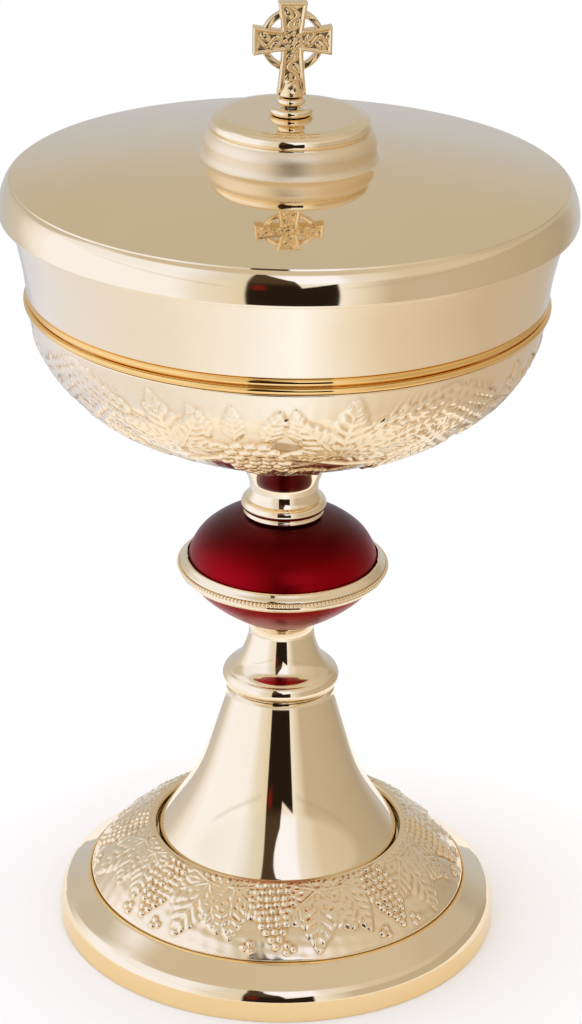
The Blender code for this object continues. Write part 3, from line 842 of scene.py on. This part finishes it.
ballR, ballLow, ballTop = nodeSize("finial_ball")
ball = [(studHole, ballLow), *arcLine((ballR - 1.7, (ballLow + ballTop) / 2), (1.68, 1.18), -90, 90, 18),
        (studHole, ballTop)]
standsFor(spinLine("finialBall", ball, polishedGilt, finialLook["segments"]), "lid", "gilt", "finial_ball")


crossLow, crossHigh = (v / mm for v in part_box("celtic_cross"))
crossC = finialLook["crossing"]
armReach = finialLook["armReach"]


# half width of an arm, s mm from the crossing
def armHalf(s, waist, end, reach):
    t = np.clip(s / reach, 0, 1)
    return waist + (end - waist) * t ** 1.5


def crossPlate():
    c = crossC
    arms = [("up", crossHigh.z - 0.05 - c, 2.6, 3.75), ("right", armReach, 2.5, 3.8),
            ("down", c - crossLow.z - 0.05, 2.6, 3.7), ("left", armReach, 2.5, 3.8)]
    outline = []
    for name, reach, waist, end in arms:
        s = np.linspace(waist, reach, 14)
        half = armHalf(s, waist, end, reach)
        side = [(-h, d) for h, d in zip(half, s)] + [(h, d) for h, d in zip(half[::-1], s[::-1])]
        turn = {"up": 0, "right": -90, "down": 180, "left": 90}[name]
        a = math.radians(turn)
        outline += [(x * math.cos(a) - y * math.sin(a), x * math.sin(a) + y * math.cos(a)) for x, y in side]
    shape = bmesh.new()
    thick = finialLook["thick"]
    face = shape.faces.new([shape.verts.new((x, -thick, z + c)) for x, z in outline])
    grown = bmesh.ops.extrude_face_region(shape, geom=[face])["geom"]
    raised = [g for g in grown if isinstance(g, bmesh.types.BMVert)]
    bmesh.ops.translate(shape, verts=raised, vec=(0, 2 * thick, 0))
    bmesh.ops.recalc_face_normals(shape, faces=shape.faces)
    return shape


def objectOf(name, shape):
    mesh = bpy.data.meshes.new(name)
    bmesh.ops.scale(shape, vec=(mm, mm, mm), verts=shape.verts)
    shape.to_mesh(mesh)
    shape.free()
    made = bpy.data.objects.new(name, mesh)
    scene.collection.objects.link(made)
    return made


def crossRing():
    shape = bmesh.new()
    section = [(6.55, -0.95), (6.75, -1.15), (8.0, -1.15), (8.2, -0.95),
               (8.2, 0.95), (8.0, 1.15), (6.75, 1.15), (6.55, 0.95)]
    points = [shape.verts.new((r, y, 0)) for r, y in section]
    edges = [shape.edges.new((a, b)) for a, b in zip(points, [*points[1:], points[0]])]
    bmesh.ops.spin(shape, geom=[*points, *edges], cent=(0, 0, 0), axis=(0, 1, 0), angle=math.tau, steps=72,
                   use_merge=True)
    bmesh.ops.remove_doubles(shape, verts=shape.verts, dist=1e-4)
    bmesh.ops.recalc_face_normals(shape, faces=shape.faces)
    bmesh.ops.translate(shape, verts=shape.verts, vec=(0, 0, crossC))
    return shape


# leaf scrolls along all four arms, a rose at the crossing and a rope pattern on the ring, inside a raised
# border
def crossRelief(x, z):
    s, t = x, z - crossC
    upright = np.abs(t) >= np.abs(s)
    along = np.where(upright, np.abs(t), np.abs(s))
    across = np.where(upright, s * np.sign(t), t * np.sign(s))
    reach = np.where(upright, np.where(t > 0, crossHigh.z - crossC, crossC - crossLow.z), armReach)
    half = armHalf(along, 2.55, np.where(upright, 3.72, 3.8), reach)
    edge = np.minimum(half - np.abs(across), reach - along)
    border = np.exp(-((edge - 0.42) / 0.34) ** 2)
    panel = np.clip((edge - 0.75) / 0.35, 0, 1)
    period = 5.4
    wide = np.clip(half - 1.3, 0.5, None)
    centre = 0.62 * wide * np.sin(math.tau * along / period)
    vine = np.exp(-((across - centre) / 0.36) ** 2)
    leafy = np.zeros_like(x)
    for n in range(6):
        side = 1 if n % 2 else -1
        u = along - (n + 0.62) * period / 2
        v = across - side * 0.62 * wide
        u, v = u * 0.8 + v * side * 0.6, -u * side * 0.6 + v * 0.8
        blade = np.clip(1 - (u / 1.55) ** 2 - (v / 0.88) ** 2, 0, 1) ** 0.5
        leafy = np.maximum(leafy, blade * (0.62 + 0.38 * np.abs(np.sin(2.6 * (u - np.abs(v))))))
    inner = np.maximum(vine * 0.8, leafy)
    middle = np.hypot(s, t)
    rose = np.exp(-(middle / 0.9) ** 2) + 0.8 * np.exp(-((middle - 1.9) / 0.42) ** 2) * (
        0.6 + 0.4 * np.cos(8 * np.arctan2(t, s)))
    inner = np.where(middle < 2.7, rose, inner)
    arms = np.maximum(border, panel * inner * 0.95) - 0.42 * panel
    ringPart = (edge < -0.02) | (np.abs(across) > half)
    rope = 0.2 + 0.16 * np.sin(9 * np.arctan2(t, s) + 3 * np.hypot(s, t))
    foot = np.clip((crossLow.z + 2.0 - z) / 1.0, 0, 1)
    return np.where(ringPart, rope, arms) * (1 - foot) + 0.2 * foot


def makeCross():
    body = objectOf("celticCross", crossPlate())
    ring = objectOf("crossRingHelper", crossRing())
    footShape = bmesh.new()
    bmesh.ops.create_cone(footShape, cap_ends=True, segments=48, radius1=3.35, radius2=2.3, depth=4.2,
                          matrix=Matrix.Translation((0, 0, crossLow.z + 2.1)))
    foot = objectOf("crossFootHelper", footShape)
    for helper in (ring, foot):
        join = body.modifiers.new(helper.name, "BOOLEAN")
        join.operation, join.object, join.solver = "UNION", helper, "EXACT"
    voxel = body.modifiers.new("skin", "REMESH")
    voxel.mode, voxel.voxel_size = "VOXEL", finialLook["voxel"]
    smooth = body.modifiers.new("smooth", "SMOOTH")
    smooth.factor, smooth.iterations = 0.5, 6
    done = bpy.data.meshes.new_from_object(body.evaluated_get(bpy.context.evaluated_depsgraph_get()))
    co = np.zeros(len(done.vertices) * 3)
    no = np.zeros(len(done.vertices) * 3)
    done.vertices.foreach_get("co", co)
    done.vertices.foreach_get("normal", no)
    co, no = co.reshape(-1, 3) / mm, no.reshape(-1, 3)
    facing = np.clip(np.abs(no[:, 1]) * 1.6 - 0.6, 0, 1) * np.sign(no[:, 1])
    relief = crossRelief(co[:, 0] * np.sign(-no[:, 1] + 1e-9), co[:, 2])
    co[:, 1] += facing * relief * finialLook["relief"]
    done.vertices.foreach_set("co", (co * mm).ravel())
    done.update()
    body.modifiers.clear()
    body.data = done
    for helper in (ring, foot):
        bpy.data.objects.remove(helper)
    done.shade_smooth()
    done.materials.clear()
    done.materials.append(castGilt)
    # the low parts of the relief take painted shade
    storeRecessShade(done, np.clip(0.45 - relief, 0, 1) * np.abs(facing) * 0.7)
    body.rotation_euler.z = math.radians(finialLook["turn"])
    return body


standsFor(makeCross(), "lid", "gilt", "celtic_cross")
print("finial made")


# fixings that keep their own shape

for name in ("foot_washer", "foot_nut", "tie_rod", "finial_stud", "finial_washer", "finial_nut"):
    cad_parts[name].material_slots[0].material = platedSteel
for name in ("foot_clamp_plate", "knop_core_tube", "cup_boss"):
    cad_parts[name].material_slots[0].material = innerGilt


# floor, light and camera

roomLook = {
    "floor": (0.94, 0.94, 0.935),
    "floorReach": 0.16,
    "strength": 1.0,
    "top": (0.66, 0.60, 0.52),
    "backLow": (0.58, 0.60, 0.66),
    "backHigh": (0.58, 0.54, 0.465),
    "seam": (0.42, 0.37, 0.31),
    "dark": (0.020, 0.013, 0.009),
    "slit": (0.075, 0.048, 0.030),
    "ruby": (0.17, 0.016, 0.010),
    "openSides": (-0.275, 0.345),
    "openBelow": -0.35,
    "notch": (0.10, 0.28),
    "notchFalls": (4.3, -0.4),
    "shoulder": (0.05, 0.50, 1.2),
    "brim": 0.80,
    "rubySides": (-0.235, -0.15),
    "rubyLevel": (0.20, 0.33),
    "foldSides": (0.42, 1.45),
    "foldLevel": (0.225, 0.262),
    "foldClimb": 0.09,
    "foldShare": 0.26,
    "sun": 22,
    "sunColour": (0.97, 0.99, 1.05),
}
# what stands round the object, by degrees from the front, growing to its right
wallStops = [
    (-180, (0.60, 0.60, 0.63)), (-148, (0.61, 0.60, 0.61)), (-130, (0.68, 0.66, 0.68)),
    (-116, (0.95, 0.98, 1.12)), (-104, (1.04, 1.12, 1.42)), (-45, (1.03, 1.11, 1.38)),
    (-34, (0.90, 0.90, 0.95)), (-17, (0.82, 0.77, 0.70)), (20, (0.98, 1.00, 1.10)),
    (28, (0.86, 0.84, 0.82)), (40, (0.60, 0.53, 0.46)), (60, (0.59, 0.52, 0.45)),
    (90, (0.56, 0.49, 0.41)), (112, (0.51, 0.45, 0.37)), (132, (0.46, 0.41, 0.35)),
    (150, (0.53, 0.48, 0.43)), (180, (0.60, 0.61, 0.66)),
]
highStops = [
    (-180, (0.58, 0.54, 0.47)), (-122, (0.62, 0.60, 0.58)), (-110, (0.95, 1.00, 1.18)),
    (-48, (1.01, 1.08, 1.36)), (-36, (0.90, 0.95, 1.12)), (-28, (0.81, 0.83, 0.86)),
    (-17, (0.78, 0.76, 0.72)), (0, (1.06, 1.16, 1.55)), (21, (1.05, 1.14, 1.50)),
    (26, (0.89, 0.90, 0.98)), (38, (0.84, 0.81, 0.80)), (50, (0.74, 0.67, 0.60)),
    (90, (0.69, 0.62, 0.55)), (112, (0.62, 0.55, 0.48)), (135, (0.57, 0.52, 0.46)),
    (180, (0.58, 0.54, 0.47)),
]
groundStops = [
    (-180, (0.60, 0.61, 0.66)), (-130, (0.85, 0.90, 1.12)), (-62, (0.91, 0.91, 0.98)),
    (-20, (1.00, 1.05, 1.20)), (6, (1.08, 1.18, 1.42)), (25, (0.95, 0.93, 0.95)),
    (48, (0.79, 0.71, 0.63)), (100, (0.63, 0.54, 0.46)), (150, (0.58, 0.53, 0.49)),
    (180, (0.60, 0.61, 0.66)),
]


def makeFloor():
    mesh = bpy.data.meshes.new("floor")
    s = roomLook["floorReach"]
    rim = [(s * math.cos(a), s * math.sin(a), 0) for a in np.linspace(0, math.tau, 97)[:-1]]
    mesh.from_pydata(rim, [], [list(range(96))])
    floor = bpy.data.objects.new("floor", mesh)
    scene.collection.objects.link(floor)
    floor.location.z = cadBounds[0].z - 0.00005
    material, tree, shader, add = nodeTools("paleFloor")
    setAll(shader, {"Base Color": (*roomLook["floor"], 1), "Roughness": 0.85, "Specular IOR Level": 0.1})
    mesh.materials.append(material)


# a light tent: cool and bright on the left, warmer and dimmer on the right, one dark opening in front
def makeTent():
    world = bpy.data.worlds.new("lightTent")
    scene.world = world
    world.use_nodes = True
    tree = world.node_tree
    link = tree.links.new
    back = tree.nodes["Background"]

    def add(kind, **values):
        node = tree.nodes.new(kind)
        for key, value in values.items():
            setattr(node, key, value)
        return node

    def calc(kind, *values):
        node = add("ShaderNodeMath", operation=kind)
        for n, value in enumerate(values):
            if isinstance(value, (int, float)):
                node.inputs[n].default_value = value
            else:
                link(value, node.inputs[n])
        return node.outputs[0]

    def soft(value, start, end):
        node = add("ShaderNodeMapRange", interpolation_type="SMOOTHSTEP")
        node.inputs["From Min"].default_value = start
        node.inputs["From Max"].default_value = end
        link(value, node.inputs["Value"])
        return node.outputs["Result"]

    # 1 between two limits, with soft sides
    def between(value, start, end, edge):
        return calc("MULTIPLY", soft(value, start - edge, start + edge),
                    calc("SUBTRACT", 1.0, soft(value, end - edge, end + edge)))

    def mix(share, a, b):
        node = add("ShaderNodeMix", data_type="RGBA")
        link(share, node.inputs["Factor"])
        colours = [s for s in node.inputs if s.type == "RGBA"]
        for socket, value in zip(colours, (a, b)):
            if isinstance(value, tuple):
                socket.default_value = (*value, 1)
            else:
                link(value, socket)
        return [s for s in node.outputs if s.type == "RGBA"][0]

    # a straight edge through one place and level, with its fall per radian to the right
    def slope(place, level, fall):
        return calc("ADD", calc("MULTIPLY", calc("SUBTRACT", place, turn), fall), level)

    def ringOf(stops):
        node = colourRamp(add, [((d + 180) / 360, colour) for d, colour in stops])
        link(share, node.inputs["Fac"])
        return node.outputs["Color"]

    where = add("ShaderNodeTexCoord")
    split = add("ShaderNodeSeparateXYZ")
    link(where.outputs["Generated"], split.inputs[0])
    x, y, z = split.outputs
    turn = calc("ARCTAN2", x, calc("MULTIPLY", y, -1.0))
    share = calc("ADD", calc("DIVIDE", turn, math.tau), 0.5)
    away = calc("ABSOLUTE", turn)

    rear = mix(soft(z, 0.12, 0.42), roomLook["backLow"], roomLook["backHigh"])
    walls = mix(soft(z, 0.34, 0.44), ringOf(wallStops), ringOf(highStops))
    walls = mix(soft(away, 2.35, 2.75), walls, rear)
    # a fold in the cloth climbs slowly round both sides
    climb = calc("SUBTRACT", z, calc("MULTIPLY", calc("SUBTRACT", away, 0.5), roomLook["foldClimb"]))
    fold = calc("MULTIPLY", between(away, *roomLook["foldSides"], 0.08),
                between(climb, *roomLook["foldLevel"], 0.020))
    walls = mix(calc("MULTIPLY", fold, roomLook["foldShare"]), walls, roomLook["seam"])
    walls = mix(soft(z, 0.70, 0.84), walls, roomLook["top"])
    walls = mix(soft(z, -0.40, -0.36), ringOf(groundStops), walls)
    # the opening's top edge falls from the left to a notch and rises again on the right
    left, right = roomLook["notchFalls"]
    falling = calc("MINIMUM", slope(*roomLook["notch"], left), slope(*roomLook["shoulder"]))
    rising = slope(*roomLook["notch"], right)
    brim = calc("MINIMUM", calc("MAXIMUM", falling, rising), roomLook["brim"])
    under = soft(calc("SUBTRACT", brim, z), -0.012, 0.012)
    below = roomLook["openBelow"]
    sides = between(turn, *roomLook["openSides"], 0.012)
    opening = calc("MULTIPLY", calc("MULTIPLY", sides, soft(z, below - 0.015, below + 0.015)), under)
    ruby = calc("MULTIPLY", between(turn, *roomLook["rubySides"], 0.035),
                between(z, *roomLook["rubyLevel"], 0.05))
    shade = mix(soft(z, 0.30, 0.46), roomLook["dark"], roomLook["slit"])
    colour = mix(opening, walls, mix(ruby, shade, roomLook["ruby"]))
    # what the camera itself sees behind the object stays plain white
    path = add("ShaderNodeLightPath")
    colour = mix(path.outputs["Is Camera Ray"], colour, (1.0, 1.0, 1.0))
    link(colour, back.inputs["Color"])
    back.inputs["Strength"].default_value = roomLook["strength"]


# soft overhead light that fills the floor and the upper faces
def makeSoftbox():
    light = bpy.data.lights.new("softbox", "AREA")
    light.shape, light.size, light.size_y = "RECTANGLE", 1.6, 1.6
    light.energy = roomLook["sun"]
    light.color = roomLook["sunColour"]
    lamp = bpy.data.objects.new("softbox", light)
    lamp.location = (0, 0.1, 1.7)
    lamp.visible_glossy = False
    scene.collection.objects.link(lamp)


cameraLook = {"spot": (0.002, -0.786, 0.4695), "down": 23.82, "roll": 1.12, "lens": 111.9}


def makeCamera():
    data = bpy.data.cameras.new("camera")
    data.lens = cameraLook["lens"]
    data.clip_start = 0.05
    camera = bpy.data.objects.new("camera", data)
    scene.collection.objects.link(camera)
    aim = (Matrix.Rotation(math.radians(90 - cameraLook["down"]), 4, "X")
           @ Matrix.Rotation(math.radians(cameraLook["roll"]), 4, "Z"))
    camera.matrix_world = Matrix.Translation(cameraLook["spot"]) @ aim
    scene.camera = camera


makeFloor()
makeTent()
makeSoftbox()
makeCamera()
print("room made")

bpy.context.view_layer.update()
